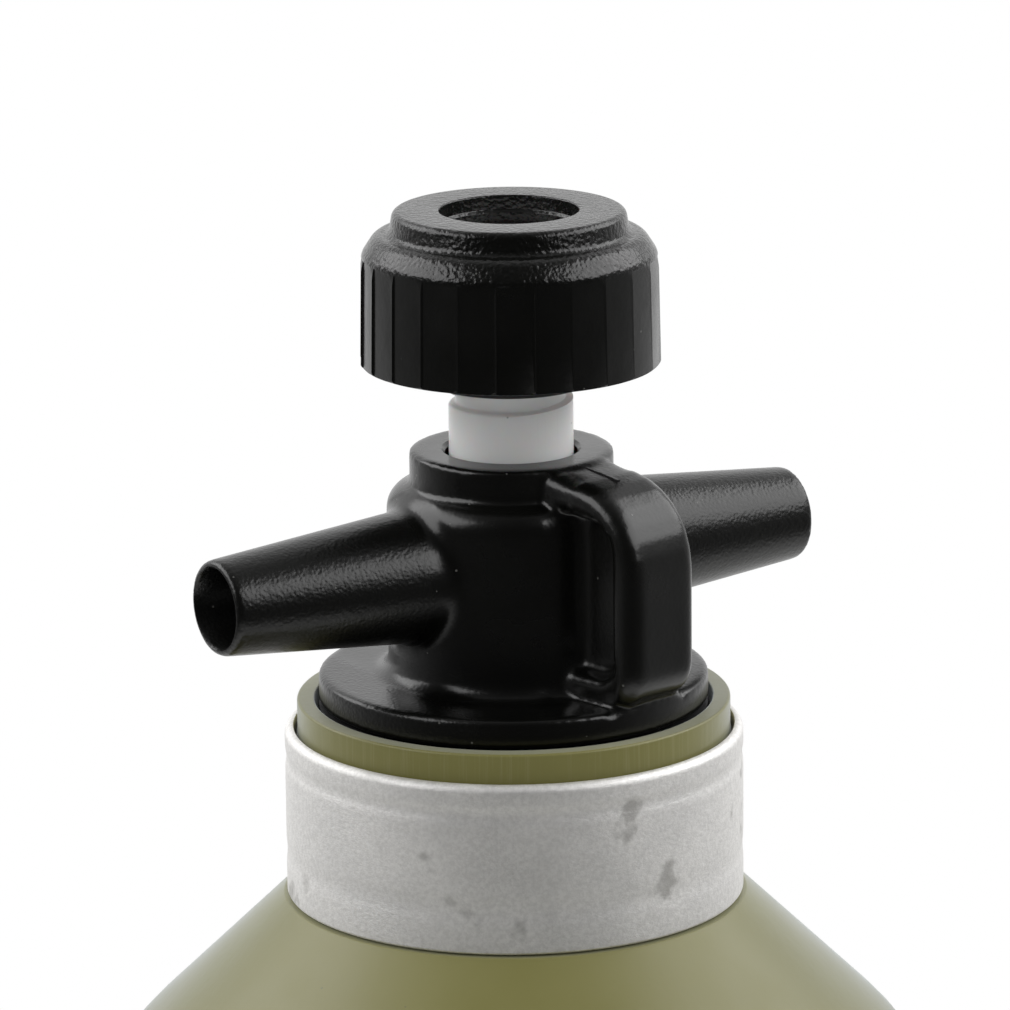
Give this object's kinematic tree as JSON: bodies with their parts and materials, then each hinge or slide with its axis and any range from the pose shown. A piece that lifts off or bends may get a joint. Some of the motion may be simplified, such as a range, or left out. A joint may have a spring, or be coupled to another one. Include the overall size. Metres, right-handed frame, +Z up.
{
  "type": "fuel bottle with pouring valve",
  "caption": "Moulded plastic bottle for liquid stove fuel, with a metal neck ring and a screw-in pouring valve: spouts, grip ear, sprung stem and a locking knob.",
  "frame": {"origin": "centre of the base, on the surface the bottle stands on", "axes": "+Z up the bottle's axis; the two pouring spouts lie along X; the grip ear points to -Y, 13 degrees towards +X"},
  "size_m": [0.074, 0.074, 0.205],
  "materials": {
    "olive_plastic": "semi-matte blow-moulded polyethylene, olive green",
    "neck_aluminium": "tumbled, mottled grain",
    "black_plastic": "black moulding, fine leathery grain, satin to glossy",
    "white_plastic": "milky white, slightly translucent, satin",
    "black_rubber": "fuel-resistant rubber",
    "inner_steel": "stainless steel"
  },
  "bodies": {
    "bottle": {"bottle_body": "olive_plastic", "neck_ring": "neck_aluminium"},
    "gasket": {"cap_gasket": "black_rubber"},
    "valve": {"valve_body": "black_plastic", "stem_o_ring": "black_rubber", "gland_ring": "white_plastic", "valve_cage": "white_plastic", "cage_clip": "inner_steel", "spring_seat": "inner_steel", "return_spring": "inner_steel"},
    "stem": {"valve_stem": "white_plastic", "valve_head": "white_plastic", "seat_seal": "black_rubber", "seal_washer": "inner_steel", "head_screw": "inner_steel"},
    "seal": {"knob_seal": "black_rubber"},
    "knob": {"knob": "black_plastic"}
  },
  "joints": [
    {"name": "cap_lift", "type": "slide", "parent": "bottle", "child": "gasket", "axis": [0, 0, 1], "range_m": [0, 0.0075]},
    {"name": "cap_turn", "type": "hinge", "parent": "gasket", "child": "valve", "pos_m": [0, 0, 0.1641], "axis": [0, 0, 1], "range_deg": [0, 900.2]},
    {"name": "valve_press", "type": "slide", "parent": "valve", "child": "stem", "axis": [0, 0, -1], "range_m": [0, 0.0023], "stiffness_N_per_m": 600, "springref_m": -0.0027, "deforming": ["return_spring"]},
    {"name": "knob_travel", "type": "slide", "parent": "stem", "child": "seal", "axis": [0, 0, 1], "range_m": [-0.003, 0]},
    {"name": "knob_turn", "type": "hinge", "parent": "seal", "child": "knob", "pos_m": [0, 0, 0.1923], "axis": [0, 0, 1], "range_deg": [-540.2, 0]}
  ],
  "couplings": [
    {"joint": "cap_turn", "follows": "cap_lift", "rad_per_m": 2094.4},
    {"joint": "knob_turn", "follows": "knob_travel", "rad_per_m": 3141.6}
  ]
}
